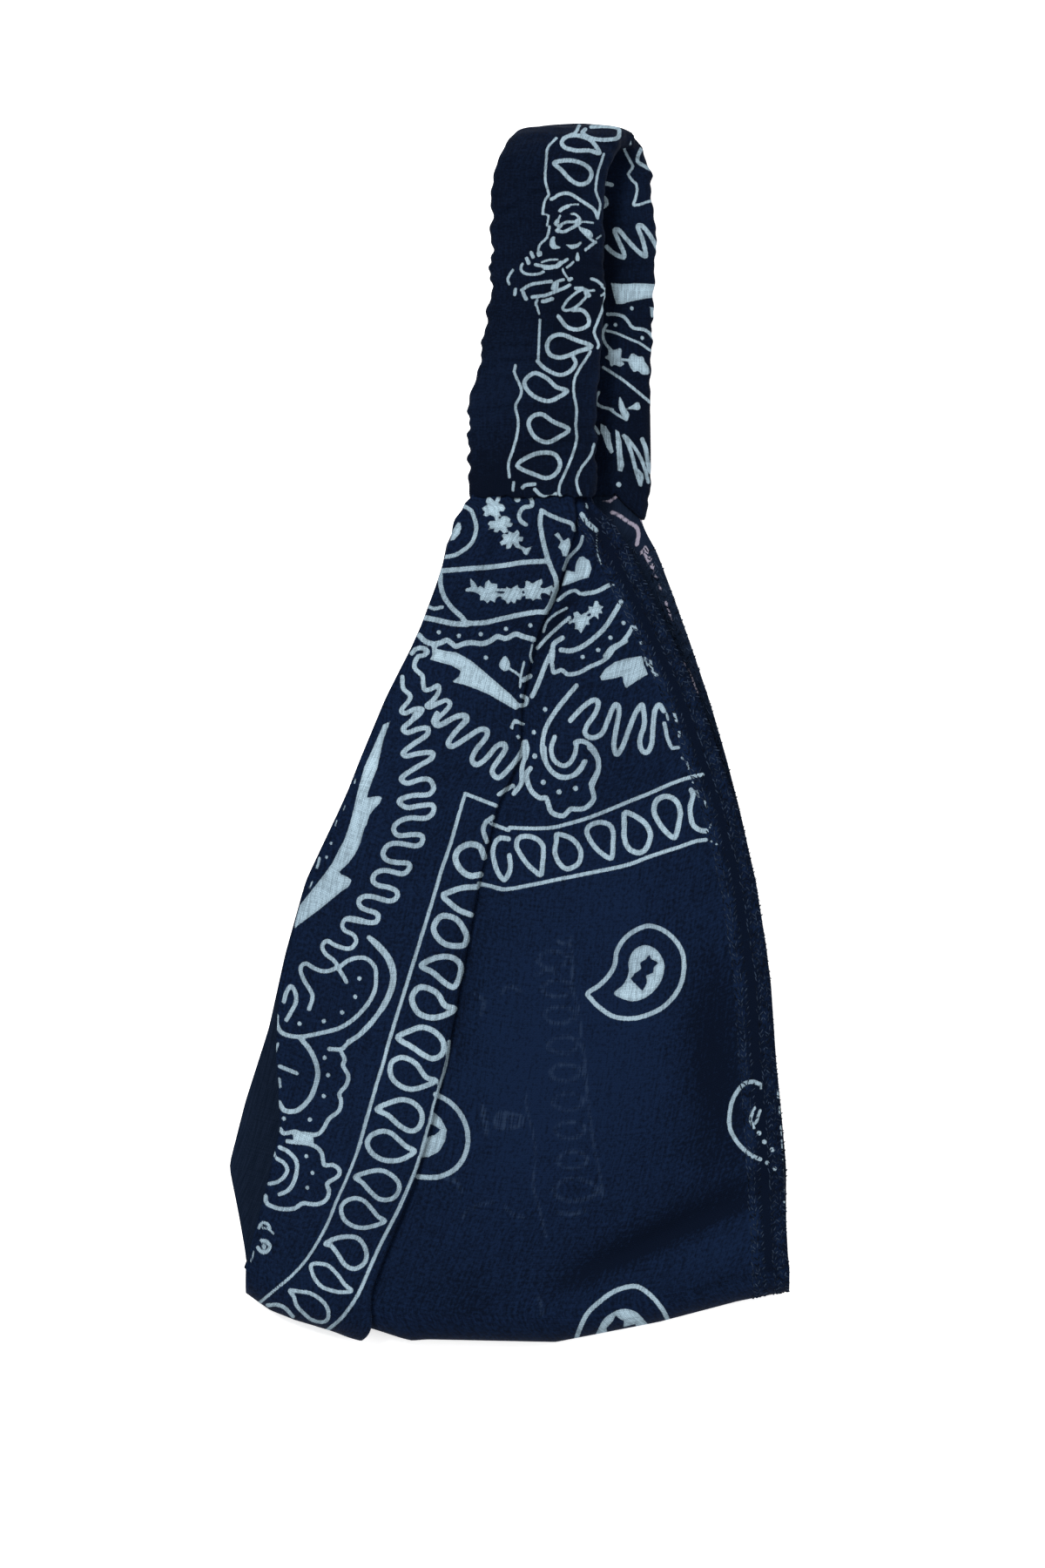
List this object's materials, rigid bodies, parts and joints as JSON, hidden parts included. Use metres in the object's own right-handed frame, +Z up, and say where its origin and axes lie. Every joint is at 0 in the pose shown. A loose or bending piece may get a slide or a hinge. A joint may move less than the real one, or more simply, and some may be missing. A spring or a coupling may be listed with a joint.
{
  "type": "bandana headband",
  "caption": "Wide cotton headband with a paisley bandana print, a pleated front panel and a shirred elastic back, lying folded flat on its side.",
  "frame": {"origin": "on the surface the headband lies on, under the centre of its bounding box", "axes": "+Z up from the surface; +Y from the centre-front fold to the bend of the back casing; +X across the band, along the way that the head goes in, towards the hem that shows"},
  "size_m": [0.1125, 0.2455, 0.0187],
  "materials": {
    "printed_cotton": "matt plain-woven cotton, navy with a light grey-blue paisley print",
    "elastic": "matt braided elastic"
  },
  "bodies": {
    "root": {"front_panel": "printed_cotton", "back_casing": "printed_cotton", "elastic_band": "elastic"}
  },
  "joints": []
}
